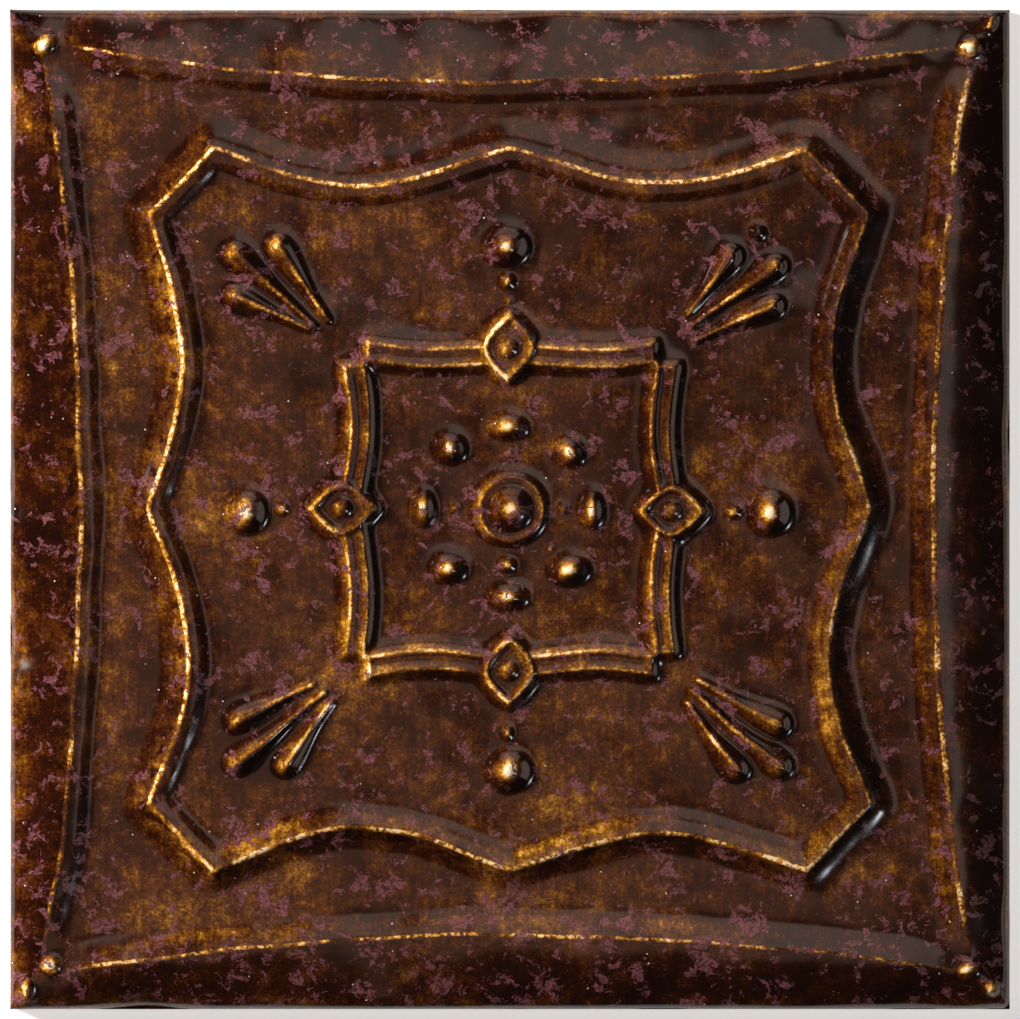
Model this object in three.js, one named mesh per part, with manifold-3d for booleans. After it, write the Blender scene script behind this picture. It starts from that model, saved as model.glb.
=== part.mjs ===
// Relief wall tile, pressed and fired in one piece. Millimetres, +Z out of the relief face.
// The origin is the middle of the flat back, and +Y is the top of the pattern.
import * as THREE from "three";
import { mergeVertices } from "three/addons/utils/BufferGeometryUtils.js";
import Module from "manifold-3d";

// Body: a square slab with a rounded arris
const tileSize = 100;
const sideHeight = 5.4;
const arrisRadius = 0.9;

// Border: a slope from the arris up to a bowed crest line, then a short step down to the outer field.
// The crest sinks at the corners, and a dot stands on each.
// The step down inside this crest and the cartouche's starts with a shoulder, a small share of the drop
const borderCornerWidth = 3.7;
const borderBow = 3.7;
const borderCrestHeight = 8.1;
const borderCornerHeight = 7.6;
const borderCrestEnd = 0.92;
const borderInnerSlope = 2.4;
const outerFieldHeight = 7.5;
const shoulderWidth = 1;
const shoulderDropShare = 0.2;
const cornerDotInset = 4.1;
const cornerDotRadius = 1.1;
const cornerDotRise = 0.6;

// Cartouche: a raised pad with a crest, chamfered corners and two scallops a side
const cartoucheMargin = 14;
const cartoucheChamfer = 6.5;
const cartoucheBow = 3.8;
const cartoucheCrestHeight = 8.6;
const cartoucheOuterSlope = 2.3;
const cartoucheInnerSlope = 2;
const innerFieldHeight = 8.0;

// Frame: two ridges round the middle, the outer one open at its corners
const frameSize = 29.6;
const frameRidgeGap = 1.7;
const frameOpenCorner = 2.3;
const frameNotch = 0.25;
const frameCornerRound = 0.8;
const frameBow = 0.6;
const frameFoot = 0.9;
const frameRidgeHeight = 8.95;
const frameGrooveHeight = 8.45;
const centreFieldHeight = 8.1;

// Medallions: an oval pointed at both ends, with a rim and a pearl, over the middle of each side of the frame
const medallionReach = 16.35;
const medallionWidth = 4.9;
const medallionLength = 6.5;
const medallionShoulder = 0.4;
const medallionFoot = 0.5;
const medallionRimWidth = 0.9;
const medallionRimHeight = 9.2;
const medallionDishHeight = 8.8;
const medallionPearlRadius = 0.9;
const medallionPearlRise = 0.7;

// Boss: a ring round a dome, in the middle
const ringRadius = 3.1;
const ringFoot = 0.6;
const ringHeight = 8.8;
const ringGrooveHeight = 8.35;
const bossRadius = 2.0;
const bossRise = 0.9;

// Pearls: a wreath of eight round the boss, and a large one beyond each side of the frame, with dots between.
// A dome falls off with this power of the way out to its foot, so it is a little peaked
const wreathRadius = 8.5;
const wreathPearlLength = 4.4;
const wreathPearlWidth = 2.9;
const wreathDiagonalWidening = 0.5;
const wreathPearlRise = 1.1;
const innerDotReach = 5.45;
const innerDotRadius = 0.65;
const innerDotRise = 0.45;
const largePearlReach = 26.1;
const largePearlRadius = 2.5;
const largePearlRise = 1.6;
const outerDotReach = 22.6;
const outerDotRadius = 0.85;
const outerDotRise = 0.5;
const domePower = 1.8;

// Fans: in each corner of the inner field, tapered petals that spread from near the frame's corner.
// Each fan leans a little towards the left or the right side of the tile
const fanPetals = 3;
const fanReach = 26.3;
const fanTailSpacing = 1.2;
const fanHeadSpacing = 3.2;
const fanLength = 10.7;
const fanSideSetback = 3;
const fanLean = THREE.MathUtils.degToRad(5.5);
const petalHeadWidth = 2.4;
const petalTailWidth = 0.8;
const petalRise = 1.0;

// Fineness of the rounded forms
const arrisSteps = 3;
const borderSteps = 16;
const scallopSteps = 24;
const frameSteps = 12;
const medallionSteps = 5;
const roundSteps = 20;
const dotSteps = 12;
const domeSteps = 4;
const petalSteps = 4;

const quarterTurn = Math.PI / 2;
const eighthTurn = Math.PI / 4;
const sunkHeight = outerFieldHeight / 2;

const wasm = await Module();
wasm.setup();

function solidOf(geometry) {
  const bare = geometry.clone();
  bare.deleteAttribute("normal");
  bare.deleteAttribute("uv");
  const merged = mergeVertices(bare);
  const corners = merged.index.array;
  const kept = [];
  for (let i = 0; i < corners.length; i += 3) {
    const [a, b, c] = corners.slice(i, i + 3);
    if (a !== b && b !== c && c !== a) kept.push(a, b, c);
  }
  return new wasm.Manifold(
    new wasm.Mesh({
      numProp: 3,
      vertProperties: new Float32Array(merged.attributes.position.array),
      triVerts: new Uint32Array(kept),
    }),
  );
}

function geometryOf(solid) {
  const mesh = solid.getMesh();
  const geometry = new THREE.BufferGeometry();
  geometry.setAttribute("position", new THREE.BufferAttribute(mesh.vertProperties, mesh.numProp));
  geometry.setIndex(new THREE.BufferAttribute(mesh.triVerts, 1));
  geometry.computeVertexNormals();
  return geometry;
}

// A closed form through outlines of as many points each, flat at both ends. An outline in between may have
// a height for each of its points
function stackedForm(levels) {
  const count = levels[0].outline.length;
  const places = levels.flatMap(({ outline, z }) =>
    outline.flatMap((point, i) => [point.x, point.y, Array.isArray(z) ? z[i] : z]),
  );
  const faces = [];
  for (let level = 0; level + 1 < levels.length; level++) {
    for (let i = 0; i < count; i++) {
      const low = level * count + i;
      const lowNext = level * count + ((i + 1) % count);
      faces.push(low, lowNext, lowNext + count, low, lowNext + count, low + count);
    }
  }
  const top = (levels.length - 1) * count;
  for (const [a, b, c] of THREE.ShapeUtils.triangulateShape(levels[0].outline, [])) {
    faces.push(a, c, b);
  }
  for (const [a, b, c] of THREE.ShapeUtils.triangulateShape(levels.at(-1).outline, [])) {
    faces.push(top + a, top + b, top + c);
  }
  const geometry = new THREE.BufferGeometry();
  geometry.setAttribute("position", new THREE.Float32BufferAttribute(places, 3));
  geometry.setIndex(faces);
  return geometry;
}

// A square outline: one side's points [along, out], from its right end to its left, at each quarter turn
function fourSided(side) {
  const centre = new THREE.Vector2();
  return [0, 1, 2, 3].flatMap((turn) =>
    side.map(([along, out]) => new THREE.Vector2(along, out).rotateAround(centre, turn * quarterTurn)),
  );
}

function evenSteps(count, from, to) {
  return Array.from({ length: count + 1 }, (_, i) => THREE.MathUtils.lerp(from, to, i / count));
}

function tileBody() {
  const half = tileSize / 2;
  const sharpCornered = evenSteps(borderSteps, 1, -1).slice(0, -1);
  const square = (inset) => fourSided(sharpCornered.map((s) => [s * (half - inset), half - inset]));
  const bowed = (inset) =>
    fourSided(sharpCornered.map((s) => [s * (half - inset), half - inset - borderBow * (1 - s * s)]));
  const crest = fourSided(sharpCornered.map((s) => [s, 1])).map(({ x, y }) =>
    Math.min(Math.abs(x), Math.abs(y)) > borderCrestEnd ? borderCornerHeight : borderCrestHeight,
  );
  const shoulder = crest.map((height) => THREE.MathUtils.lerp(height, outerFieldHeight, shoulderDropShare));
  const slopeAngle = Math.atan2(borderCrestHeight - sideHeight, borderCornerWidth + borderBow);
  const arris = evenSteps(arrisSteps, 0, quarterTurn - slopeAngle).map((angle) => ({
    outline: square(arrisRadius * (1 - Math.cos(angle))),
    z: sideHeight + arrisRadius * Math.sin(angle),
  }));
  return stackedForm([
    { outline: square(0), z: 0 },
    ...arris,
    { outline: bowed(borderCornerWidth), z: crest },
    { outline: bowed(borderCornerWidth + shoulderWidth), z: shoulder },
    { outline: bowed(borderCornerWidth + borderInnerSlope), z: outerFieldHeight },
  ]);
}

function cartouche() {
  const half = tileSize / 2 - cartoucheMargin;
  const outline = (inset) => {
    const end = half - cartoucheChamfer - inset * Math.tan(eighthTurn / 2);
    return fourSided(
      evenSteps(scallopSteps, 1, -1).map((s) => [
        s * end,
        half - inset - cartoucheBow * Math.sin(Math.PI * Math.abs(s)),
      ]),
    );
  };
  const shoulder = THREE.MathUtils.lerp(cartoucheCrestHeight, innerFieldHeight, shoulderDropShare);
  return stackedForm([
    { outline: outline(-cartoucheOuterSlope), z: sunkHeight },
    { outline: outline(-cartoucheOuterSlope), z: outerFieldHeight },
    { outline: outline(0), z: cartoucheCrestHeight },
    { outline: outline(shoulderWidth), z: shoulder },
    { outline: outline(cartoucheInnerSlope), z: innerFieldHeight },
  ]);
}

function frame() {
  const half = frameSize / 2;
  const outline = (outset, end, corner) =>
    fourSided([
      [corner, corner],
      ...evenSteps(frameSteps, 1, -1).map((s) => [
        s * end,
        half + outset - frameBow * Math.sin(Math.PI * Math.abs(s)),
      ]),
    ]);
  const inner = (inset) => {
    const reach = half - inset;
    return outline(-inset, reach - frameCornerRound, reach - frameCornerRound * (1 - Math.cos(eighthTurn)));
  };
  const open = half + frameRidgeGap - frameOpenCorner;
  const footOutline = outline(frameRidgeGap + frameFoot, open + frameFoot, half + frameNotch + frameFoot);
  return stackedForm([
    { outline: footOutline, z: sunkHeight },
    { outline: footOutline, z: innerFieldHeight },
    { outline: outline(frameRidgeGap, open, half + frameNotch), z: frameRidgeHeight },
    { outline: outline(frameRidgeGap / 2, open, half + frameNotch / 2), z: frameGrooveHeight },
    { outline: inner(0), z: frameRidgeHeight },
    { outline: inner(frameFoot), z: centreFieldHeight },
  ]);
}

// An oval outline, pointed at both ends
function pointedOval(width, length) {
  const side = width / 2;
  const end = length / 2;
  const shoulder = end * medallionShoulder;
  const oval = new THREE.Path();
  oval.moveTo(0, end);
  oval.quadraticCurveTo(-side, shoulder, -side, 0);
  oval.quadraticCurveTo(-side, -shoulder, 0, -end);
  oval.quadraticCurveTo(side, -shoulder, side, 0);
  oval.quadraticCurveTo(side, shoulder, 0, end);
  return oval.getPoints(medallionSteps).slice(0, -1);
}

function medallion() {
  const grown = (by) => {
    const width = medallionWidth + 2 * by;
    return pointedOval(width, (width * medallionLength) / medallionWidth);
  };
  const plate = stackedForm([
    { outline: grown(medallionFoot), z: sunkHeight },
    { outline: grown(medallionFoot), z: innerFieldHeight },
    { outline: grown(0), z: medallionRimHeight },
    { outline: grown(-medallionRimWidth), z: medallionDishHeight },
  ]);
  const pearl = dome(medallionPearlRadius, medallionPearlRadius, medallionPearlRise, medallionDishHeight, dotSteps);
  return [plate, pearl];
}

// A profile [out, up] turned about the vertical
function turned(profile, sides) {
  const points = profile.map(([out, up]) => new THREE.Vector2(out, up));
  return new THREE.LatheGeometry(points, sides).rotateX(quarterTurn);
}

// The upper curve of a dome, from its foot to its top
function domeCurve(radius, rise, base) {
  return evenSteps(domeSteps, 1, 0).map((share) => [radius * share, base + rise * (1 - share ** domePower)]);
}

function dome(radiusX, radiusY, rise, base, sides) {
  const profile = [[0, sunkHeight], [1, sunkHeight], ...domeCurve(1, rise, base)];
  return turned(profile, sides).scale(radiusX, radiusY, 1);
}

function boss() {
  const foot = ringRadius + ringFoot;
  return turned(
    [
      [0, sunkHeight],
      [foot, sunkHeight],
      [foot, centreFieldHeight],
      [ringRadius, ringHeight],
      [(ringRadius + bossRadius) / 2, ringGrooveHeight],
      ...domeCurve(bossRadius, bossRise, ringGrooveHeight),
    ],
    roundSteps,
  );
}

function wreathPearl(turn) {
  const isDiagonal = turn % 2 === 1;
  const width = isDiagonal ? wreathPearlWidth + wreathDiagonalWidening : wreathPearlWidth;
  return dome(wreathPearlLength / 2, width / 2, wreathPearlRise, centreFieldHeight, roundSteps);
}

// One petal along +Y from the origin, with its round head about the far end
function petal(length) {
  const head = petalHeadWidth / 2;
  const tail = petalTailWidth / 2;
  const neck = new THREE.Vector2(head * Math.cos(eighthTurn), length - head * Math.sin(eighthTurn));
  const profile = new THREE.Path();
  profile.moveTo(0, 0);
  profile.lineTo(tail, tail);
  profile.quadraticCurveTo(tail, length / 2, neck.x, neck.y);
  profile.absarc(0, length, head, -eighthTurn, quarterTurn, false);
  return new THREE.LatheGeometry(profile.getPoints(petalSteps), dotSteps).scale(1, 1, petalRise / head);
}

// The petals of the fan that opens along +Y
function fan(lean) {
  const middle = (fanPetals - 1) / 2;
  return evenSteps(fanPetals - 1, -middle, middle).map((place) => {
    const tail = new THREE.Vector2(place * fanTailSpacing, 0);
    const head = new THREE.Vector2(place * fanHeadSpacing, fanLength - fanSideSetback * Math.abs(place));
    const spread = head.sub(tail);
    return petal(spread.length())
      .rotateZ(spread.angle() - quarterTurn)
      .translate(tail.x, tail.y, innerFieldHeight)
      .rotateZ(lean)
      .translate(0, fanReach, 0);
  });
}

// What repeats on the four sides, drawn on the +Y side
function sideForms() {
  const placed = (form, reach) => form.translate(0, reach, 0);
  return [
    ...medallion().map((form) => placed(form, medallionReach)),
    placed(dome(innerDotRadius, innerDotRadius, innerDotRise, centreFieldHeight, dotSteps), innerDotReach),
    placed(dome(outerDotRadius, outerDotRadius, outerDotRise, innerFieldHeight, dotSteps), outerDotReach),
    placed(
      dome(largePearlRadius, largePearlRadius, largePearlRise, innerFieldHeight, roundSteps),
      largePearlReach,
    ),
  ];
}

function reliefTile() {
  const forms = [cartouche(), frame(), boss()];
  const cornerReach = (tileSize / 2 - cornerDotInset) * Math.SQRT2;
  for (const turn of [0, 1, 2, 3]) {
    const lean = turn % 2 === 0 ? -fanLean : fanLean;
    const cornerDot = dome(cornerDotRadius, cornerDotRadius, cornerDotRise, outerFieldHeight, dotSteps);
    const corner = [...fan(lean), cornerDot.translate(0, cornerReach, 0)];
    forms.push(...sideForms().map((form) => form.rotateZ(turn * quarterTurn)));
    forms.push(...corner.map((form) => form.rotateZ(turn * quarterTurn - eighthTurn)));
  }
  for (const turn of [0, 1, 2, 3, 4, 5, 6, 7]) {
    forms.push(wreathPearl(turn).translate(0, wreathRadius, 0).rotateZ(turn * eighthTurn));
  }
  const solid = forms.reduce((whole, form) => whole.add(solidOf(form)), solidOf(tileBody()));
  return geometryOf(solid);
}

const brownGlaze = new THREE.MeshStandardMaterial({ color: 0x5a3a22, roughness: 0.15, metalness: 0 });

const reliefTileMesh = new THREE.Mesh(reliefTile(), brownGlaze);
reliefTileMesh.name = "relief_tile";

const tile = new THREE.Group();
tile.add(reliefTileMesh);

export default tile;
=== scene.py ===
import math

import bpy
import numpy as np
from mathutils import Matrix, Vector
from mathutils.geometry import delaunay_2d_cdt


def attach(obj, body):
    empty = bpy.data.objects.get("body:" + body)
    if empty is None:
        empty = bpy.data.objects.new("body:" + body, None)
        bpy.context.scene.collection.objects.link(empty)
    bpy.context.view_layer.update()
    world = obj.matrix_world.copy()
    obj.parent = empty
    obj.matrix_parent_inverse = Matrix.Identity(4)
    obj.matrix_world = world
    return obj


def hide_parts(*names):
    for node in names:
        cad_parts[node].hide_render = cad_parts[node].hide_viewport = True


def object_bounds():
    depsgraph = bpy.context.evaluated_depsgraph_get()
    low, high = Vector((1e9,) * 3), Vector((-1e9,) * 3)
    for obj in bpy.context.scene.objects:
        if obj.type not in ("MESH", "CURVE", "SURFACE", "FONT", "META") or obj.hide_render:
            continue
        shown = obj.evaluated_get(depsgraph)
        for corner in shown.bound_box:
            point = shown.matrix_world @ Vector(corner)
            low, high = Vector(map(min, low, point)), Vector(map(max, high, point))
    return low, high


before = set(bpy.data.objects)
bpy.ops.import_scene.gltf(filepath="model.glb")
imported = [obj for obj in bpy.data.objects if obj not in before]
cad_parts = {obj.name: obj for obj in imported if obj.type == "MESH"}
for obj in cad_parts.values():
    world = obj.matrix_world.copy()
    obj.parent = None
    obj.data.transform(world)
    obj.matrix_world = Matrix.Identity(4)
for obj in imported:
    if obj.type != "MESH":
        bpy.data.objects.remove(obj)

cad_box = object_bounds()

# Sizes on the tile are in millimetres, as in the part's source. Lights, floor and camera are in metres.
# Where the four sides differ, their values are in the order top, left, bottom, right
MM = 0.001
HALF = round(cad_box[1][0] / MM, 3)
ARRIS = 0.9
ARRIS_PATH = ARRIS * math.pi / 2
FLAT_HALF = HALF - ARRIS
SIDE_TOP = 5.4

# Border, with a crest that bows inwards and sinks a little in the corners
BORDER_WIDTHS = (7.3, 7.1, 7.45, 7.7)
BORDER_BOW = 3.8
BORDER_REACH = 46.0
BORDER_BOW_LIMIT = 1.05
BORDER_EDGE_HEIGHT = SIDE_TOP + ARRIS
BORDER_CREST = 8.1
BORDER_OUTER_SWELL = 1.4
BORDER_OUTER_LIMIT = 1.1
BORDER_INNER_SLOPE = 2.4
CORNER_START = 38.5
CORNER_FADE = 6.5
CORNER_SINK = 0.6
OUTER_FIELD = 7.5

# The inner slopes of the border and the cartouche start gently, and a thin bead runs along their crests
SHOULDER_WIDTH = 1.0
SHOULDER_SHARE = 0.2
BEAD_RISE = 0.06
BEAD_WIDTH = 0.22

# Cartouche. The two scallops of a side are given against the clock and with it
CARTOUCHE_HALVES = (36.0, 36.1, 35.9, 35.9)
CARTOUCHE_BOWS = ((3.7, 3.5), (4.1, 3.3), (3.5, 4.2), (3.7, 4.0))
CARTOUCHE_ENDS = 29.5
SCALLOP_LEAN = 1.04
SCALLOP_POINT = 1.12
CARTOUCHE_CREST = 8.6
CARTOUCHE_OUTER_SLOPE = 3.2
CARTOUCHE_OUTER_HOLLOW = 2.2
CARTOUCHE_INNER_SLOPE = 2.1
INNER_FIELD = 8.0

# Half widths of the gold lines along the two crests
BORDER_LINES = (0.3, 0.42, 0.3, 0.68)
CARTOUCHE_LINE = 0.36

# Frame: two ridges with a groove between them
FRAME_HALF = 14.8
FRAME_GAP = 1.7
FRAME_OPEN = 14.2
FRAME_BOW = 0.6
FRAME_BOW_START = 2.0
FRAME_CORNER = 0.3
FRAME_CORNER_REACH = 9
FRAME_FOOT = 0.9
FRAME_RISE = 0.95
FRAME_GROOVE = 0.4
FRAME_GROOVE_POWER = 0.8
FRAME_THINNEST = 0.2
FRAME_RIDGE = 0.4
FRAME_MARGIN = 2.0

# Medallions: middle of each, out from the centre
MEDALLION_REACHES = (16.35, 16.65, 16.15, 16.25)
MEDALLION_WIDTH = 4.9
MEDALLION_LENGTH = 6.5
MEDALLION_SWEEP = 1.7
MEDALLION_FOOT = 0.6
MEDALLION_RISE = 1.1
MEDALLION_DISH = 0.45
MEDALLION_DISH_SLOPE = 0.8
MEDALLION_PEARL = 0.95
MEDALLION_PEARL_RISE = 0.55

# Boss, a dome in a ring
RING_RADIUS = 3.15
RING_RISE = 0.65
RING_FOOT = 0.7
RING_INNER_FOOT = 0.6
RING_FLOOR = 0.3
RING_MARGIN = 0.3
BOSS_RADIUS = 2.1
BOSS_RISE = 1.2

# Domes: x, y, half length, half width, turn in degrees, rise
WREATH = (
    (-0.2, 8.2, 2.2, 1.35, 0, 1.0),
    (-6.0, 6.1, 1.75, 1.6, -45, 1.1),
    (-8.7, 0.0, 2.1, 1.15, 90, 1.0),
    (-6.1, -6.0, 1.95, 1.55, -10, 1.1),
    (-0.1, -8.7, 2.2, 1.4, 0, 1.05),
    (6.0, -6.1, 2.0, 1.55, 10, 1.15),
    (8.2, 0.0, 2.1, 1.15, 90, 1.0),
    (5.9, 5.8, 1.9, 1.4, -40, 1.05),
)
DOTS = (
    (-0.2, 5.5, 0.55, 0.5, 0, 0.4),
    (-0.2, -5.5, 1.0, 0.9, 0, 0.5),
    (5.2, 0.0, 0.8, 0.7, 90, 0.3),
    (-5.6, 0.0, 0.7, 0.6, 0, 0.3),
    (4.0, -3.9, 0.3, 0.3, 0, 0.35),
    (-0.2, 22.7, 1.0, 0.9, 90, 0.55),
    (-0.1, 21.0, 0.6, 0.5, 90, 0.25),
    (-0.3, -22.3, 0.95, 0.55, 90, 0.5),
    (-22.8, 0.1, 0.8, 0.7, 0, 0.5),
    (22.3, -0.2, 0.95, 0.8, 0, 0.55),
    (-13.2, 0.1, 0.6, 0.5, 0, 0.3),
)
LARGE_PEARLS = (
    (-0.2, 26.1, 2.2, 2.0, 0, 1.42),
    (-26.2, -0.1, 2.25, 1.9, 90, 1.38),
    (0.0, -26.1, 2.3, 2.1, 0, 1.42),
    (26.0, -0.3, 2.3, 2.1, 90, 1.42),
)
CORNER_DOTS = (
    (-46.4, 46.4, 1.3, 0.9, 45, 0.75),
    (45.7, 46.0, 1.4, 1.1, 0, 0.8),
    (-45.7, -45.5, 1.1, 1.0, 0, 0.7),
    (45.6, -46.0, 1.3, 0.9, 20, 0.75),
    (48.0, 48.0, 0.8, 0.5, 45, 0.3),
    (-48.4, -47.6, 0.8, 0.5, 70, 0.3),
    (48.0, -48.0, 0.9, 0.6, -45, 0.35),
)
GLAZE_BUBBLE = (24.8, 27.7, 0.85, 0.85, 0, 0.45)

# The corner dots stand on the border, at this height. The other domes stand on the inner field
CORNER_BASE = 7.4

# A dome falls from its top with this power of the distance: a low one is pointed, a high one is blunt
PEARL_POWER = 1.5
LARGE_PEARL_POWER = 1.8
BUBBLE_POWER = 3.0

# Petals: head x, y, then tail x, y
PETALS = (
    (-27.6, 25.6, -19.4, 18.3),
    (-23.3, 26.4, -18.1, 19.0),
    (-27.4, 21.2, -20.1, 18.1),
    (22.1, 25.3, 17.8, 19.6),
    (26.5, 24.4, 18.1, 18.4),
    (26.2, 20.4, 18.6, 17.0),
    (-27.1, -21.0, -19.7, -17.4),
    (-27.0, -25.3, -18.6, -18.2),
    (-22.3, -25.4, -17.9, -19.2),
    (26.8, -21.4, 19.0, -17.2),
    (27.0, -25.6, 18.4, -18.3),
    (22.6, -25.8, 18.0, -19.6),
)
PETAL_HEAD = 1.2
PETAL_TAIL = 0.5
PETAL_SWELL_START = 0.35
PETAL_SWELL_OVER = 0.6
PETAL_RISE = 1.05
PETAL_TAIL_RISE = 0.45
PETAL_TAIL_POWER = 1.6
PETAL_POWER_DROP = 0.7

# How much more bare of glaze a place is than its height alone would make it. A cover is the opposite,
# and below zero it bares the whole of a dome
PEARL_COVER = 0.28
# The pale spot on each dome's top is thin glaze and also a painted highlight
PEARL_BARED_AND_HIGHLIGHT = 1.5
PEARL_TOP = 0.36
BUBBLE_COVER = 3.0
CORNER_COVER = -1.0
PETAL_COVER = 0.5
PETAL_BARED = 1.15
PETAL_RIDGE_POWER = 24
PETAL_POOL = 0.6
PETAL_POOL_REACH = 2.3

# The hand's unevenness: how far places are shifted, and over what length
SEED = 7
WOBBLE = 0.12
WOBBLE_REACH = 2.2

# Glaze on the clay. It pools in hollows and softens edges, and its waves have a reach and a height each
CELL = 0.08
RASTER_MARGIN = 0.4
POOL_SPREAD = 0.65
POOL_SHARE = 0.85
POOL_EDGE = 0.03
SOFTENING = 0.22
WAVES = ((0.9, 0.014), (2.6, 0.1))

# Where the glaze settled on the borders, in a band inside each edge, and towards one corner
SETTLED = (0.0, 0.5, 0.45, 0.0)
SETTLED_FROM = 41
SETTLED_OVER = 5
BAND_SETTLED = 0.5
BAND_START = 0.9
BAND_START_OVER = 0.6
BAND_END = 4.4
BAND_END_OVER = 2.0
RUN_DOWN = 0.25

# Painted light and shade on the slopes, paler where they face the key at the upper left and darker where
# they face away, and the glaze's thin edge on the arris
PAINTED_SHADING = 1.2
PAINTED_SHADING_WAY = (0.95, -0.3)
PAINTED_SHADING_SOFTENING = 0.25
PAINTED_SHADING_REACH = 2.2
PAINTED_SHADING_LIMITS = (-0.14, 0.26)
EDGE_WIDTHS = (1.2, 2.6, 1.8, 0.9)
EDGE_BARED = (0.5, 0.35, 0.6, 0.9)

# How far a place stands out is measured against the clay within these reaches
SWELL_REACH = 1.0
CREST_REACH = 0.3

# Mesh. A level has its spacing, and the share of the tile that is too flat for it
MESH_LEVELS = ((0.24, 0.77), (0.36, 0.42), (0.62, 0.0))
MESH_MARGIN = 0.1
DETAIL_REACH = 0.3
DETAIL_SOFTENING = 0.25
ARRIS_RINGS = 6
ARRIS_PLACES = 260
ARRIS_CORNER_POWER = 4
SIDE_LEVELS = 3
MERGE_DISTANCE = 1e-5
RIM_TOLERANCE = 1e-4

# Colours from a thick pool of glaze to a bare crest
GLAZE_COLOURS = (
    (0.0, (0.009, 0.002, 0.001)),
    (0.22, (0.024, 0.0042, 0.001)),
    (0.42, (0.074, 0.019, 0.0025)),
    (0.6, (0.21, 0.078, 0.007)),
    (0.76, (0.58, 0.26, 0.03)),
    (0.9, (0.9, 0.56, 0.2)),
    (1.0, (0.98, 0.82, 0.58)),
)
CLAY_COLOURS = ((0.3, (0.34, 0.24, 0.15)), (0.7, (0.46, 0.34, 0.23)))
FLAKE_COLOURS = ((0.075, 0.02, 0.028, 1), (0.2, 0.07, 0.085, 1))
# White specks of crystal, which are also painted sparkles
SPECK_AND_SPARKLE_COLOUR = (0.85, 0.82, 0.78, 1)
CRACK_COLOUR = (0.015, 0.006, 0.003, 1)
FLAKE_STRENGTH = 0.92
CRACK_STRENGTH = 0.6
GLAZE_ROUGHNESS = 0.15
FLAKE_ROUGHNESS = 0.3
CLAY_ROUGHNESS = 0.85
RIPPLE_HEIGHT = 0.004

# What each thing adds to the thinness of the glaze, which is 0 in a pool and 1 on a bare crest
THINNESS_BASE = -0.98
THINNESS_SHARES = {
    # The swell also carries painted light and shade on the slopes and painted highlights on dome tops
    "swell_and_painted_light": 0.42,
    "broad": 0.75,
    "patches": 1.1,
    "grain": 0.45,
    "streaks": 0.25,
    "lines": 0.52,
    "droplets": -0.25,
}

# The glaze stops at most this far above the back
BARE_CLAY_REACH = 4.0

# Floor, camera and world. The width that the picture shows is in millimetres
FLOOR_SIZE = 4.0
FLOOR_COLOUR = (0.8, 0.8, 0.8, 1)
FLOOR_ROUGHNESS = 0.9
FLOOR_GLOW = 0.6
CAMERA_HEIGHT = 1.5
CAMERA_CLIP = 10
SENSOR_WIDTH = 36
PICTURE_WIDTH = 102.0
WORLD_COLOUR = (0.06, 0.042, 0.032, 1)

# Lights: name, place, direction, size, power, colour. Only the key lights the tile, and its gloss mirrors
# the others. Without a direction, a light is turned to the middle of the tile
PANEL_HEIGHT = 1.2
DOWN = (0, 0, -1)
GREY = (1.0, 0.76, 0.64)
BROWN = (1.0, 0.55, 0.37)
KEY_LIGHT = ("key", (-0.45, 0.16, 0.22), None, (0.12, 0.16), 6.2, (1.0, 0.95, 0.88))
MIRRORED_LIGHTS = (
    ("left_glint", (-0.75, 0.35, 0.8), None, (0.1, 0.1), 0.35, (1, 0.96, 0.9)),
    ("right_glint", (0.59, -0.4, 0.76), None, (0.14, 0.14), 1.3, (0.9, 0.92, 1.0)),
    ("back_panel", (0.18, 0.63, PANEL_HEIGHT), DOWN, (0.52, 0.98), 2.0, GREY),
    ("right_panel", (0.44, 0, PANEL_HEIGHT), DOWN, (0.2, 0.28), 0.2, GREY),
    ("front_panel", (0, -0.375, PANEL_HEIGHT), DOWN, (0.5, 0.35), 0.4, BROWN),
    ("left_panel", (-0.155, 0, PANEL_HEIGHT), DOWN, (0.29, 0.6), 0.36, BROWN),
    ("bottom_panel", (-0.05, -0.17, PANEL_HEIGHT), DOWN, (0.4, 0.26), 0.2, BROWN),
    ("high_back_panel", (0, 1.5, 0.9), None, (1.4, 0.6), 3.0, GREY),
    ("low_right_panel", (1.0, 0, 0.27), None, (1.4, 0.3), 1.7, GREY),
    ("low_back_panel", (0, 1.0, 0.3), None, (1.4, 0.3), 1.7, GREY),
)


def side_angle(turn):
    """The way from the centre to a side."""
    return math.pi / 2 * (turn + 1)


def side_frame(turn, x, y):
    """How far along a side, with the clock, and how far out from the centre a place is."""
    angle = side_angle(turn)
    return x * math.sin(angle) - y * math.cos(angle), x * math.cos(angle) + y * math.sin(angle)


def fall(distance, width, power=1.2):
    """1 on a crest, down to 0 at its foot, hollow at the foot."""
    return np.clip(1 - distance / width, 0, 1) ** power


def ease(value):
    """From 0 to 1 with soft ends."""
    value = np.clip(value, 0, 1)
    return value * value * (3 - 2 * value)


def shouldered_fall(distance, width):
    """1 on a crest, down to 0 at its foot, gently at first and then steeply."""
    gentle = SHOULDER_SHARE * np.clip(distance / SHOULDER_WIDTH, 0, 1)
    steep = (1 - SHOULDER_SHARE) * ease((distance - SHOULDER_WIDTH) / (width - SHOULDER_WIDTH))
    return 1 - gentle - steep


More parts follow.
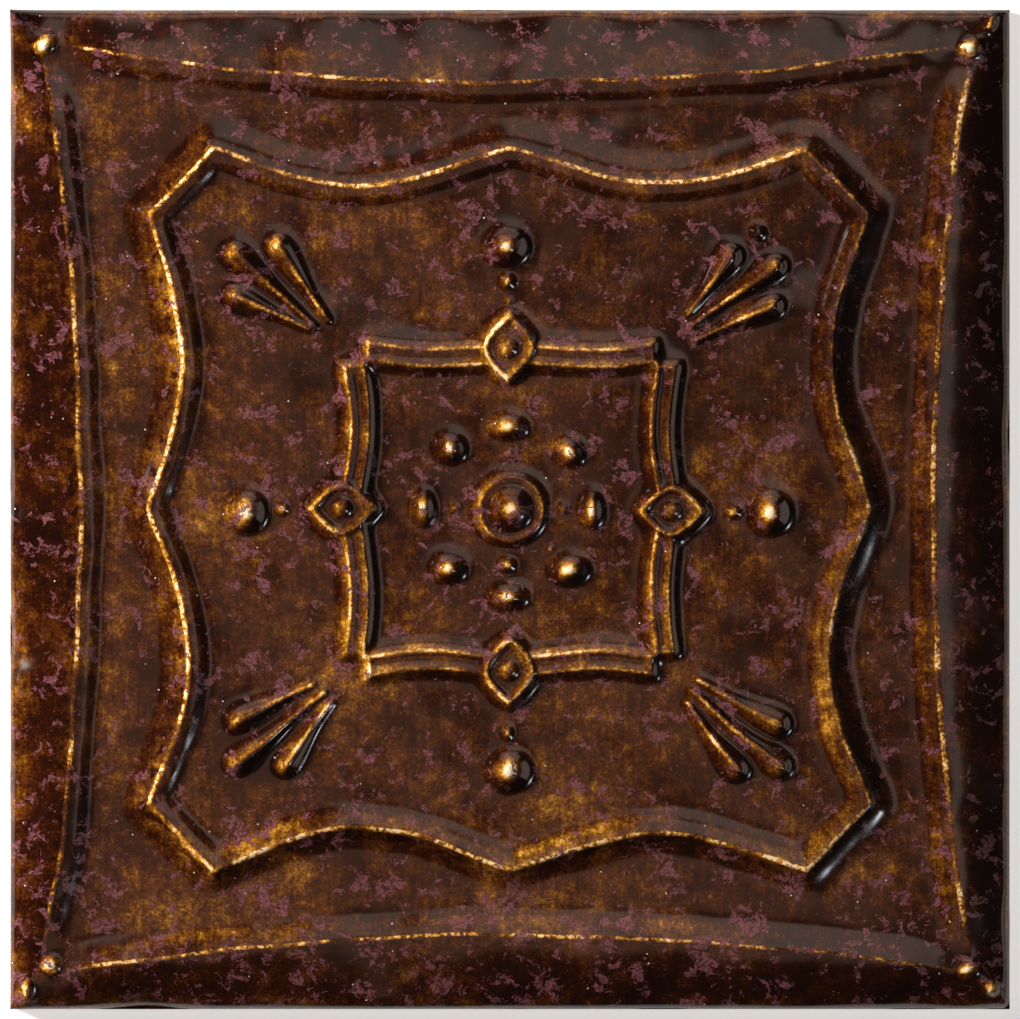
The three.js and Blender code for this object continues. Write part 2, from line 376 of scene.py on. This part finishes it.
class Raster:
    """A square of height samples over the tile."""

    def __init__(self):
        count = int(round((HALF + RASTER_MARGIN) / CELL))
        self.axis = np.arange(-count, count + 1) * CELL
        self.x, self.y = np.meshgrid(self.axis, self.axis)
        self.rng = np.random.default_rng(SEED)
        self.x = self.x + WOBBLE * self.waves(WOBBLE_REACH)
        self.y = self.y + WOBBLE * self.waves(WOBBLE_REACH)
        self.bared = np.zeros(self.x.shape)

    def blurred(self, field, sigma):
        """The field under a Gaussian blur, its edge drawn out by three sigmas."""
        pad = int(3 * sigma / CELL) + 2
        wide = np.pad(field, pad, mode="edge")
        share = 2 * (math.pi * sigma / CELL) ** 2
        rows = np.exp(-share * np.fft.fftfreq(wide.shape[0]) ** 2)[:, None]
        columns = np.exp(-share * np.fft.rfftfreq(wide.shape[1]) ** 2)[None, :]
        soft = np.fft.irfft2(np.fft.rfft2(wide) * rows * columns, wide.shape)
        return soft[pad:-pad, pad:-pad]

    def waves(self, sigma):
        """Random waves about as broad as sigma, with a standard deviation of 1."""
        field = self.blurred(self.rng.standard_normal(self.x.shape), sigma)
        return field / field.std()

    def near(self, x, y, reach):
        """The rows and columns of samples around a place."""
        low = [np.searchsorted(self.axis, place - reach) for place in (y, x)]
        high = [np.searchsorted(self.axis, place + reach) for place in (y, x)]
        return slice(low[0], high[0]), slice(low[1], high[1])

    def sample(self, field, x, y):
        """The field at places between its samples. The last one still needs a neighbour beyond it."""
        last = len(self.axis) - 1.001
        column = np.clip((x - self.axis[0]) / CELL, 0, last)
        row = np.clip((y - self.axis[0]) / CELL, 0, last)
        c, r = column.astype(int), row.astype(int)
        u, v = column - c, row - r
        low = field[r, c] * (1 - u) + field[r, c + 1] * u
        high = field[r + 1, c] * (1 - u) + field[r + 1, c + 1] * u
        return low * (1 - v) + high * v


def border_height(x, y):
    """The border's height, and the distance out from its crest line, in half widths of that line."""
    outside = np.full(x.shape, -np.inf)
    line_width = np.ones(x.shape)
    share = np.zeros(x.shape)
    for turn in range(4):
        along, out = side_frame(turn, x, y)
        bow = BORDER_BOW * np.minimum(np.abs(along) / BORDER_REACH, BORDER_BOW_LIMIT) ** 2
        inset = BORDER_WIDTHS[turn] - bow
        distance = out - (HALF - inset)
        line_width = np.where(distance > outside, BORDER_LINES[turn], line_width)
        outside = np.maximum(outside, distance)
        share = np.maximum(share, np.clip(distance, 0, None) / inset)
    corner = ease((np.minimum(np.abs(x), np.abs(y)) - CORNER_START) / CORNER_FADE)
    crest = BORDER_CREST - CORNER_SINK * corner
    lowered = np.minimum(share, BORDER_OUTER_LIMIT) ** BORDER_OUTER_SWELL
    outer = crest - (crest - BORDER_EDGE_HEIGHT) * lowered
    inner = OUTER_FIELD + (crest - OUTER_FIELD) * shouldered_fall(-outside, BORDER_INNER_SLOPE)
    bead = BEAD_RISE * (1 - corner) * np.exp(-((outside / BEAD_WIDTH) ** 2))
    return np.where(outside > 0, outer, inner) + bead, outside / line_width


def cartouche_distance(x, y):
    """Signed distance from the cartouche's crest line, positive outside."""
    parts = []
    for turn in range(4):
        along, out = side_frame(turn, x, y)
        share = np.clip(np.abs(along) / CARTOUCHE_ENDS, 0, 1)
        bow = np.where(along < 0, *CARTOUCHE_BOWS[turn])
        scallop = bow * np.sin(math.pi * share ** SCALLOP_LEAN) ** SCALLOP_POINT
        slope = np.gradient(scallop, CELL, axis=1 - turn % 2)
        parts.append((out - CARTOUCHE_HALVES[turn] + scallop) / np.sqrt(1 + slope ** 2))
        corner = (CARTOUCHE_HALVES[turn] + CARTOUCHE_ENDS) / math.sqrt(2)
        parts.append((out + along) / math.sqrt(2) - corner)
    return np.maximum.reduce(parts)


def frame_rise(x, y):
    """How far the frame rises over the inner field. It stands open at its corners."""
    inner, outer = [], []
    for turn in range(4):
        along, out = side_frame(turn, x, y)
        share = np.clip((np.abs(along) - FRAME_BOW_START) / (FRAME_OPEN - FRAME_BOW_START), 0, 1)
        bow = FRAME_BOW * np.sin(math.pi * share)
        inner.append(out - FRAME_HALF + bow)
        outer.append(out - FRAME_HALF - FRAME_GAP + bow)
    near = [np.clip(part, -FRAME_CORNER_REACH, FRAME_CORNER_REACH) for part in inner]
    inside = FRAME_CORNER * np.log(sum(np.exp(part / FRAME_CORNER) for part in near))
    notch = np.minimum(np.abs(x), np.abs(y)) - FRAME_OPEN
    outside = np.maximum(np.maximum.reduce(outer), notch)
    across = np.clip(inside / np.maximum(inside - outside, FRAME_THINNEST), 0, 1)
    rise = 1 - FRAME_GROOVE * np.sin(math.pi * across) ** FRAME_GROOVE_POWER
    rise = np.where(outside > 0, fall(outside, FRAME_FOOT), rise)
    rise = np.where(inside < 0, fall(-inside, FRAME_FOOT), rise)
    inner_ridge = np.exp(-((inside / FRAME_RIDGE) ** 2))
    return FRAME_RISE * np.maximum(rise, inner_ridge)


def add_medallion(height, raster, turn):
    """A dished diamond with hollow sides and a pearl in its middle."""
    reach = MEDALLION_REACHES[turn]
    angle = side_angle(turn)
    place = reach * math.cos(angle), reach * math.sin(angle)
    spot = raster.near(*place, MEDALLION_LENGTH)
    along, out = side_frame(turn, raster.x[spot], raster.y[spot])
    out = out - reach
    half, end = MEDALLION_WIDTH / 2, MEDALLION_LENGTH / 2
    share = np.abs(out) / end
    edge = half * (1 - share ** MEDALLION_SWEEP)
    slope = half * MEDALLION_SWEEP * share ** (MEDALLION_SWEEP - 1) / end
    distance = (np.abs(along) - edge) / np.sqrt(1 + slope ** 2)
    dome = np.sqrt(np.clip(1 - (along ** 2 + out ** 2) / MEDALLION_PEARL ** 2, 0, 1))
    dish = MEDALLION_RISE - MEDALLION_DISH * ease(-distance / MEDALLION_DISH_SLOPE)
    inside = INNER_FIELD + (dish + MEDALLION_PEARL_RISE * dome)
    foot = INNER_FIELD + MEDALLION_RISE * fall(distance, MEDALLION_FOOT)
    height[spot] = np.where(distance < 0, inside, np.maximum(height[spot], foot))


def thin_top_and_painted_highlight(radius, rise, cover):
    """The glaze thins on a pearl's top, where the pale spot is also a painted highlight, and covers the
    rest of it.
    """
    return rise * (PEARL_BARED_AND_HIGHLIGHT * np.exp(-((radius / PEARL_TOP) ** 2)) - cover * (radius < 1))


def add_boss(height, raster):
    spot = raster.near(0, 0, RING_RADIUS + RING_FOOT + RING_MARGIN)
    radius = np.hypot(raster.x[spot], raster.y[spot])
    ring = np.where(
        radius > RING_RADIUS,
        RING_RISE * fall(radius - RING_RADIUS, RING_FOOT),
        RING_FLOOR + (RING_RISE - RING_FLOOR) * fall(RING_RADIUS - radius, RING_INNER_FOOT),
    )
    share = radius / BOSS_RADIUS
    dome = RING_FLOOR + (BOSS_RISE - RING_FLOOR) * np.sqrt(np.clip(1 - share ** 2, 0, 1))
    height[spot] += np.maximum(ring, np.where(radius < BOSS_RADIUS, dome, 0))
    # Thin glaze and a painted highlight on the boss's top
    raster.bared[spot] = thin_top_and_painted_highlight(share, BOSS_RISE, PEARL_COVER)


def add_dome(height, raster, place, base=INNER_FIELD, power=PEARL_POWER, cover=PEARL_COVER):
    x, y, half_length, half_width, turn, rise = place
    spot = raster.near(x, y, half_length + half_width)
    dx, dy = raster.x[spot] - x, raster.y[spot] - y
    c, s = math.cos(math.radians(turn)), math.sin(math.radians(turn))
    along, across = (dx * c + dy * s) / half_length, (dy * c - dx * s) / half_width
    radius = np.hypot(along, across)
    inside = radius < 1
    bulge = 1 - radius ** power
    height[spot] = np.where(inside, np.maximum(height[spot], base + rise * bulge), height[spot])
    raster.bared[spot] = np.where(inside, thin_top_and_painted_highlight(radius, rise, cover), raster.bared[spot])


def add_petal(height, raster, place):
    """A drop that is wide and high at its head, with a bare ridge and a pool of glaze around the head."""
    head, tail = np.array(place[:2]), np.array(place[2:])
    middle = (head + tail) / 2
    length = float(np.hypot(*(head - tail)))
    spot = raster.near(*middle, length / 2 + 2 * PETAL_POOL_REACH)
    ahead = (head - tail) / length
    dx, dy = raster.x[spot] - tail[0], raster.y[spot] - tail[1]
    along = dx * ahead[0] + dy * ahead[1]
    across = dy * ahead[0] - dx * ahead[1]
    share = np.clip(along / length, 0, 1)
    widened = ease((share - PETAL_SWELL_START) / PETAL_SWELL_OVER)
    half_width = PETAL_TAIL + (PETAL_HEAD - PETAL_TAIL) * widened
    beyond = along - share * length
    distance = np.hypot(across, beyond) / half_width
    rise = PETAL_RISE * (PETAL_TAIL_RISE + (1 - PETAL_TAIL_RISE) * share)
    inside = np.clip(1 - distance ** 2, 0, 1)
    bulge = inside ** (PETAL_TAIL_POWER - PETAL_POWER_DROP * share)
    height[spot] = np.maximum(height[spot], INNER_FIELD + rise * bulge * (distance < 1))
    ridge = PETAL_BARED * inside ** PETAL_RIDGE_POWER - PETAL_COVER * inside
    pool = PETAL_POOL * np.exp(-(np.hypot(across, along - length) / PETAL_POOL_REACH) ** 2)
    raster.bared[spot] = np.where(distance < 1, ridge, np.minimum(raster.bared[spot], -pool))


def clay_relief(raster):
    """The clay's height, and the distances out from the two crest lines, in half widths of the lines."""
    x, y = raster.x, raster.y
    height, border = border_height(x, y)
    cartouche = cartouche_distance(x, y)
    outer_fall = fall(cartouche, CARTOUCHE_OUTER_SLOPE, CARTOUCHE_OUTER_HOLLOW)
    outer = (CARTOUCHE_CREST - OUTER_FIELD) * outer_fall
    inner_fall = shouldered_fall(-cartouche, CARTOUCHE_INNER_SLOPE)
    inner = INNER_FIELD + (CARTOUCHE_CREST - INNER_FIELD) * inner_fall
    height = np.where(cartouche > 0, height + outer, inner)
    height = height + BEAD_RISE * np.exp(-((cartouche / BEAD_WIDTH) ** 2))
    middle = np.maximum(np.abs(x), np.abs(y)) < FRAME_HALF + FRAME_GAP + FRAME_MARGIN
    height = height + np.where(middle, frame_rise(x, y), 0)
    for turn in range(4):
        add_medallion(height, raster, turn)
    add_boss(height, raster)
    for place in WREATH + DOTS:
        add_dome(height, raster, place)
    for place in LARGE_PEARLS:
        add_dome(height, raster, place, power=LARGE_PEARL_POWER)
    add_dome(height, raster, GLAZE_BUBBLE, power=BUBBLE_POWER, cover=BUBBLE_COVER)
    for place in CORNER_DOTS:
        add_dome(height, raster, place, base=CORNER_BASE, cover=CORNER_COVER)
    for place in PETALS:
        add_petal(height, raster, place)
    return height, border, cartouche / CARTOUCHE_LINE


def glazed(raster, clay):
    """The glaze's surface: it fills the hollows and runs thin over the crests."""
    hollow = raster.blurred(clay, POOL_SPREAD) - clay
    fill = POOL_EDGE * np.logaddexp(0, hollow / POOL_EDGE) - POOL_EDGE * math.log(2)
    surface = raster.blurred(clay + POOL_SHARE * fill, SOFTENING)
    for reach, height in WAVES:
        surface = surface + height * raster.waves(reach)
    return surface


def settled(raster):
    """The glaze is thicker on the left and bottom borders, inside each edge, and towards the top right."""
    inset = HALF - np.maximum(np.abs(raster.x), np.abs(raster.y))
    started = ease((inset - BAND_START) / BAND_START_OVER)
    thick = BAND_SETTLED * started * ease((BAND_END - inset) / BAND_END_OVER)
    for turn in range(4):
        _, out = side_frame(turn, raster.x, raster.y)
        thick = np.maximum(thick, SETTLED[turn] * ease((out - SETTLED_FROM) / SETTLED_OVER))
    return -thick - RUN_DOWN * (raster.x + raster.y) / (2 * HALF)


def painted_key_shading(raster, clay):
    """Painted light and shade: slopes that face the key at the upper left get thinner, paler glaze, and
    those that face away thicker, darker glaze.
    """
    forms = raster.blurred(clay, PAINTED_SHADING_SOFTENING) - raster.blurred(clay, PAINTED_SHADING_REACH)
    rise_y, rise_x = np.gradient(forms, CELL)
    return PAINTED_SHADING * np.clip(PAINTED_SHADING_WAY[0] * rise_x + PAINTED_SHADING_WAY[1] * rise_y, *PAINTED_SHADING_LIMITS)


def bare_edge(raster):
    """The glaze is thin along the arris."""
    edge = np.zeros(raster.x.shape)
    for turn, (width, bared) in enumerate(zip(EDGE_WIDTHS, EDGE_BARED)):
        _, out = side_frame(turn, raster.x, raster.y)
        edge = np.maximum(edge, ease((out - HALF + width) / width) * bared)
    return edge


def hexagonal(spacing, reach):
    """Places in rows, each row shifted by half a spacing from the one before."""
    rows = np.arange(-reach, reach, spacing * math.sqrt(3) / 2)
    columns = np.arange(-reach, reach, spacing)
    x, y = np.meshgrid(columns, rows)
    x = x + (np.arange(len(rows)) % 2)[:, None] * spacing / 2
    return x.ravel(), y.ravel()


def top_places(raster, surface):
    """Places inside the arris, close together where the relief turns and further apart on the flats."""
    turning = np.abs(surface - raster.blurred(surface, DETAIL_REACH))
    detail = raster.blurred(turning, DETAIL_SOFTENING)
    ceiling = math.inf
    xs, ys = [], []
    for spacing, flatter in MESH_LEVELS:
        floor = np.quantile(detail, flatter)
        x, y = hexagonal(spacing, FLAT_HALF)
        here = raster.sample(detail, x, y)
        clear = np.maximum(abs(x), abs(y)) < FLAT_HALF - MESH_MARGIN
        keep = (here < ceiling) & (here >= floor) & clear
        xs.append(x[keep])
        ys.append(y[keep])
        ceiling = floor
    return xs, ys


def arris_places():
    """Square rings of places, from the start of the arris to the top of the side, before it is bent."""
    xs, ys = [], []
    for ring in range(ARRIS_RINGS + 1):
        reach = FLAT_HALF + ARRIS_PATH * ring / ARRIS_RINGS
        run = np.linspace(-reach, reach, ARRIS_PLACES, endpoint=False)
        fixed = np.full(ARRIS_PLACES, reach)
        xs += [run, fixed, -run, -fixed]
        ys += [-fixed, run, fixed, -run]
    return xs, ys


def flat_mesh(raster, surface):
    """The glazed surface before it is bent over the arris: its places, and triangles that face up."""
    top_xs, top_ys = top_places(raster, surface)
    arris_xs, arris_ys = arris_places()
    path = np.stack([np.concatenate(top_xs + arris_xs), np.concatenate(top_ys + arris_ys)], 1)
    corners = [Vector(place) for place in path.tolist()]
    places, _, triangles = delaunay_2d_cdt(corners, [], [], 0, MERGE_DISTANCE)[:3]
    path = np.array([tuple(place) for place in places])
    faces = np.array([tuple(triangle) for triangle in triangles])
    a, b, c = (path[faces[:, corner]] for corner in range(3))
    area = (b[:, 0] - a[:, 0]) * (c[:, 1] - a[:, 1]) - (b[:, 1] - a[:, 1]) * (c[:, 0] - a[:, 0])
    return path, np.where((area < 0)[:, None], faces[:, ::-1], faces)


def wrapped(path):
    """A path over the arris, as a place and as the sine of how far it has turned down."""
    over = np.clip((np.abs(path) - FLAT_HALF) / ARRIS, 0, math.pi / 2)
    place = np.where(over > 0, FLAT_HALF + ARRIS * np.sin(over), np.abs(path))
    return np.sign(path) * place, np.sin(over)


def bent_points(raster, surface, path):
    """The places raised to the glazed surface and bent down over the arris."""
    x, turned_x = wrapped(path[:, 0])
    y, turned_y = wrapped(path[:, 1])
    power = ARRIS_CORNER_POWER
    turned = (turned_x ** power + turned_y ** power) ** (1 / power)
    drop = ARRIS * (1 - np.sqrt(np.clip(1 - np.minimum(turned, 1) ** 2, 0, 1)))
    return np.stack([x, y, raster.sample(surface, x, y) - drop], 1)


def rim_indices(path):
    """The places at the top of the sides, around the tile."""
    rim = np.where(np.max(np.abs(path), 1) > FLAT_HALF + ARRIS_PATH - RIM_TOLERANCE)[0]
    return rim[np.argsort(np.arctan2(path[rim, 1], path[rim, 0]))]


def sides_and_back(points, rim):
    """Rings of points below the rim, the faces of the sides between them, and the back."""
    rings = []
    polygons = []
    upper = rim
    for level in range(1, SIDE_LEVELS + 1):
        ring = points[rim]
        ring[:, 2] = SIDE_TOP * (1 - level / SIDE_LEVELS)
        rings.append(ring)
        lower = len(points) + (level - 1) * len(rim) + np.arange(len(rim))
        polygons += np.stack([upper, lower, np.roll(lower, -1), np.roll(upper, -1)], 1).tolist()
        upper = lower
    polygons.append(upper[::-1].tolist())
    return rings, polygons


def glaze_fields(raster, clay, border, cartouche):
    """What the material is told of each place on the tile."""
    swell_and_painted_light = clay - raster.blurred(clay, SWELL_REACH)
    # Painted light and shade on the slopes, and painted highlights on dome tops, join the swell here
    swell_and_painted_light = swell_and_painted_light + raster.bared + bare_edge(raster) + settled(raster) + painted_key_shading(raster, clay)
    crest = clay - raster.blurred(clay, CREST_REACH)
    return {"swell_and_painted_light": swell_and_painted_light, "crest": crest, "border": border, "cartouche": cartouche}


def build_tile(raster):
    clay, border, cartouche = clay_relief(raster)
    surface = glazed(raster, clay)
    path, faces = flat_mesh(raster, surface)
    points = bent_points(raster, surface, path)
    rim = rim_indices(path)
    points[rim, 2] = SIDE_TOP
    rings, side_polygons = sides_and_back(points, rim)
    vertices = np.concatenate([points] + rings)
    polygons = faces.tolist() + side_polygons
    mesh = bpy.data.meshes.new("glazed_tile")
    mesh.from_pydata((vertices * MM).tolist(), [], polygons)
    mesh.polygons.foreach_set("use_smooth", [True] * (len(polygons) - 1) + [False])
    for name, field in glaze_fields(raster, clay, border, cartouche).items():
        values = raster.sample(field, vertices[:, 0], vertices[:, 1])
        layer = mesh.attributes.new(name, "FLOAT", "POINT")
        layer.data.foreach_set("value", values.astype(np.float32))
    tile = bpy.data.objects.new("glazed_tile", mesh)
    bpy.context.scene.collection.objects.link(tile)
    return tile


class Graph:
    """A node material, built in short calls. Lengths inside it are in millimetres."""

    def __init__(self, name):
        self.material = bpy.data.materials.new(name)
        self.material.use_nodes = True
        self.tree = self.material.node_tree
        self.shader = self.tree.nodes["Principled BSDF"]

    def feed(self, socket, value):
        if isinstance(value, bpy.types.NodeSocket):
            self.tree.links.new(value, socket)
        else:
            socket.default_value = value

    def node(self, kind, inputs, **settings):
        node = self.tree.nodes.new(kind)
        for key, value in settings.items():
            setattr(node, key, value)
        for key, value in inputs.items():
            self.feed(node.inputs[key], value)
        return node

    def math(self, operation, a, b=0.0, c=0.0):
        return self.node("ShaderNodeMath", {0: a, 1: b, 2: c}, operation=operation).outputs[0]

    def both(self, *parts):
        """The product of several masks."""
        product = parts[0]
        for part in parts[1:]:
            product = self.math("MULTIPLY", product, part)
        return product

    def attribute(self, name):
        return self.node("ShaderNodeAttribute", {}, attribute_name=name).outputs["Fac"]

    def rise(self, value, low, high, bottom=0.0, top=1.0):
        """From bottom to top, with soft ends, while the value goes from low to high."""
        inputs = {"Value": value, "From Min": low, "From Max": high, "To Min": bottom, "To Max": top}
        return self.node("ShaderNodeMapRange", inputs, interpolation_type="SMOOTHSTEP").outputs[0]

    def place(self, stretch=(1, 1, 1), shift=(0, 0, 0)):
        """Position on the tile, in millimetres."""
        position = self.node("ShaderNodeTexCoord", {}).outputs["Object"]
        scale = tuple(part / MM for part in stretch)
        inputs = {"Vector": position, "Scale": scale, "Location": shift}
        return self.node("ShaderNodeMapping", inputs).outputs[0]

    def coordinate(self, axis):
        return self.node("ShaderNodeSeparateXYZ", {"Vector": self.place()}).outputs[axis]

    def noise(self, place, size, detail=2.0, roughness=0.5, distortion=0.0):
        inputs = {"Vector": place, "Scale": 1 / size, "Detail": detail}
        inputs |= {"Roughness": roughness, "Distortion": distortion}
        return self.node("ShaderNodeTexNoise", inputs).outputs["Fac"]

    def cells(self, place, size, feature, **settings):
        inputs = {"Vector": place, "Scale": 1 / size}
        return self.node("ShaderNodeTexVoronoi", inputs, feature=feature, **settings).outputs

    def blend(self, factor, a, b):
        return self.node("ShaderNodeMix", {0: factor, 6: a, 7: b}, data_type="RGBA").outputs[2]

    def ramp(self, value, stops):
        node = self.node("ShaderNodeValToRGB", {"Fac": value})
        elements = node.color_ramp.elements
        for _ in stops[2:]:
            elements.new(0.5)
        for element, (position, colour) in zip(elements, stops):
            element.position = position
            element.color = (*colour, 1)
        return node.outputs["Color"]


def gold_lines(graph):
    """The crest lines, where the glaze breaks to pale gold, in beads and with gaps."""
    beads = graph.noise(graph.place(shift=(0, 0, 5)), size=0.42, detail=1)
    gaps = graph.noise(graph.place(shift=(9, 4, 0)), size=4.0, detail=1)
    beaded = graph.rise(beads, 0.34, 0.6, bottom=0.3)
    broken = graph.both(beaded, graph.rise(gaps, 0.38, 0.54, bottom=0.3))
    curved = graph.attribute("crest")
    lines = graph.rise(curved, 0.045, 0.16, top=0.6)
    for name in ("border", "cartouche"):
        distance = graph.math("ABSOLUTE", graph.attribute(name))
        close = graph.rise(distance, 0.25, 1.0, bottom=1.0, top=0.0)
        lines = graph.math("MAXIMUM", lines, graph.both(close, graph.rise(curved, 0.0, 0.02)))
    return graph.both(lines, broken)


def droplets(graph):
    """Small dark gatherings of glaze just beside the crest lines."""
    spots = graph.rise(graph.noise(graph.place(shift=(0, 0, 9)), size=1.3, detail=1), 0.54, 0.62)
    beside = 0.0
    for name in ("border", "cartouche"):
        distance = graph.attribute(name)
        clear = graph.rise(distance, 0.6, 1.2)
        near = graph.rise(distance, 2.2, 3.6, bottom=1.0, top=0.0)
        beside = graph.math("MAXIMUM", beside, graph.both(clear, near))
    return graph.both(spots, beside)


def thinness(graph):
    """How thin the glaze is: 0 is a pool, 1 a bare crest. The swell part also carries painted light and
    shade and painted highlights.
    """
    patches_place = graph.place(shift=(40, 0, 0))
    parts = {
        "swell_and_painted_light": graph.attribute("swell_and_painted_light"),
        "broad": graph.noise(graph.place(), size=11.0, detail=2, roughness=0.6),
        "patches": graph.noise(patches_place, size=2.2, detail=4, roughness=0.78),
        "grain": graph.noise(graph.place(shift=(0, 70, 0)), size=0.3, detail=1, roughness=0.7),
        "streaks": graph.noise(graph.place(stretch=(1, 0.12, 1)), size=0.5, detail=1),
        "lines": gold_lines(graph),
        "droplets": droplets(graph),
    }
    total = THINNESS_BASE
    for name, share in THINNESS_SHARES.items():
        total = graph.math("MULTIPLY_ADD", parts[name], share, total)
    return total


def flakes(graph):
    """Lacy mauve crystals floating in the glaze, in drifts, with more of them at the bottom."""
    lace_place = graph.place(shift=(3, 8, 0))
    lace = graph.noise(lace_place, size=1.7, detail=5, roughness=0.78, distortion=0.5)
    drifts = graph.noise(graph.place(shift=(11, 2, 0)), size=3.2, detail=2, roughness=0.6)
    low_down = graph.rise(graph.coordinate("Y"), -50.0, -20.0, bottom=0.05, top=0.0)
    edge = graph.rise(graph.math("ADD", drifts, low_down), 0.4, 0.66, bottom=0.62, top=0.525)
    return graph.rise(graph.math("SUBTRACT", lace, edge), 0.0, 0.012)


def specks_and_sparkles(graph):
    """Tiny white crystals, which also stand in as painted sparkles of light."""
    cells = graph.cells(graph.place(), size=1.3, feature="F1")
    chance = graph.node("ShaderNodeSeparateColor", {0: cells["Color"]}).outputs[0]
    swarms = graph.noise(graph.place(shift=(0, 5, 0)), size=7.0, detail=0)
    likely = graph.math("ADD", chance, graph.rise(swarms, 0.45, 0.7, top=0.5))
    round_spots = graph.rise(cells["Distance"], 0.03, 0.08, bottom=1.0, top=0.0)
    return graph.both(round_spots, graph.rise(likely, 0.88, 0.92))


def crackle(graph):
    """Hairline cracks in the glaze, here and there."""
    bend = graph.node("ShaderNodeTexNoise", {"Vector": graph.place(), "Scale": 0.3, "Detail": 0.0})
    bent = graph.node("ShaderNodeVectorMath", {0: graph.place(), 1: bend.outputs["Color"]}).outputs[0]
    edges = graph.cells(bent, size=8.0, feature="DISTANCE_TO_EDGE", voronoi_dimensions="2D")
    hairlines = graph.rise(edges["Distance"], 0.003, 0.009, bottom=1.0, top=0.0)
    shown = graph.rise(graph.noise(graph.place(shift=(0, 31, 0)), size=16.0, detail=0), 0.42, 0.55)
    return graph.both(hairlines, shown)


def bare_clay(graph):
    """The foot of the sides, up to the uneven line where the glaze ran out."""
    run = graph.noise(graph.place(stretch=(1, 1, 0.2)), size=5.0, detail=0)
    line = graph.math("MULTIPLY", run, BARE_CLAY_REACH)
    above = graph.math("SUBTRACT", graph.coordinate("Z"), line)
    return graph.rise(above, 0.0, 0.25, bottom=1.0, top=0.0)


def glaze_colour(graph, crystal, bare):
    colour = graph.ramp(thinness(graph), GLAZE_COLOURS)
    colour = graph.blend(graph.both(crackle(graph), CRACK_STRENGTH), colour, CRACK_COLOUR)
    grain = graph.rise(graph.noise(graph.place(shift=(5, 5, 5)), size=0.25, detail=0), 0.3, 0.7)
    flake = graph.blend(grain, *FLAKE_COLOURS)
    colour = graph.blend(graph.both(crystal, FLAKE_STRENGTH), colour, flake)
    # White specks of crystal, also painted sparkles
    colour = graph.blend(specks_and_sparkles(graph), colour, SPECK_AND_SPARKLE_COLOUR)
    clay = graph.ramp(graph.noise(graph.place(), size=0.6, detail=2, roughness=0.7), CLAY_COLOURS)
    return graph.blend(bare, colour, clay)


def glaze_material():
    graph = Graph("glaze")
    crystal = flakes(graph)
    bare = bare_clay(graph)
    graph.feed(graph.shader.inputs["Base Color"], glaze_colour(graph, crystal, bare))
    matt_flakes = graph.both(crystal, FLAKE_ROUGHNESS)
    rough = graph.math("MAXIMUM", matt_flakes, graph.both(bare, CLAY_ROUGHNESS))
    graph.feed(graph.shader.inputs["Roughness"], graph.math("MAXIMUM", rough, GLAZE_ROUGHNESS))
    ripples = graph.noise(graph.place(), size=0.8, detail=1, roughness=0.6)
    inputs = {"Height": ripples, "Distance": RIPPLE_HEIGHT * MM, "Strength": 1.0}
    bump = graph.node("ShaderNodeBump", inputs)
    graph.feed(graph.shader.inputs["Normal"], bump.outputs[0])
    return graph.material


def area_light(name, place, direction, size, power, colour):
    data = bpy.data.lights.new(name, "AREA")
    data.shape = "RECTANGLE"
    data.size, data.size_y = size
    data.energy = power
    data.color = colour
    light = bpy.data.objects.new(name, data)
    light.location = place
    aim = Vector(direction) if direction else Vector((0, 0, 0)) - Vector(place)
    light.rotation_euler = aim.to_track_quat("-Z", "Y").to_euler()
    bpy.context.scene.collection.objects.link(light)
    return light


def add_stage():
    bpy.ops.mesh.primitive_plane_add(size=FLOOR_SIZE)
    floor = bpy.context.object
    floor.name = "floor"
    material = bpy.data.materials.new("pale_floor")
    material.use_nodes = True
    shader = material.node_tree.nodes["Principled BSDF"]
    shader.inputs["Base Color"].default_value = FLOOR_COLOUR
    shader.inputs["Roughness"].default_value = FLOOR_ROUGHNESS
    shader.inputs["Emission Color"].default_value = (1, 1, 1, 1)
    shader.inputs["Emission Strength"].default_value = FLOOR_GLOW
    floor.data.materials.append(material)


def add_camera():
    data = bpy.data.cameras.new("camera")
    data.sensor_width = SENSOR_WIDTH
    data.lens = SENSOR_WIDTH * (CAMERA_HEIGHT - BORDER_EDGE_HEIGHT * MM) / (PICTURE_WIDTH * MM)
    data.clip_end = CAMERA_CLIP
    camera = bpy.data.objects.new("camera", data)
    camera.location = (0, 0, CAMERA_HEIGHT)
    bpy.context.scene.collection.objects.link(camera)
    bpy.context.scene.camera = camera


def add_lights():
    key = area_light(*KEY_LIGHT)
    key.visible_glossy = False
    for settings in MIRRORED_LIGHTS:
        light = area_light(*settings)
        light.visible_diffuse = False
    world = bpy.data.worlds.new("world")
    bpy.context.scene.world = world
    world.use_nodes = True
    world.node_tree.nodes["Background"].inputs["Color"].default_value = WORLD_COLOUR


add_camera()
bpy.context.scene.view_settings.view_transform = "Standard"
add_stage()
add_lights()
tile = build_tile(Raster())
tile.data.materials.append(glaze_material())
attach(tile, "root")
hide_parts("relief_tile")
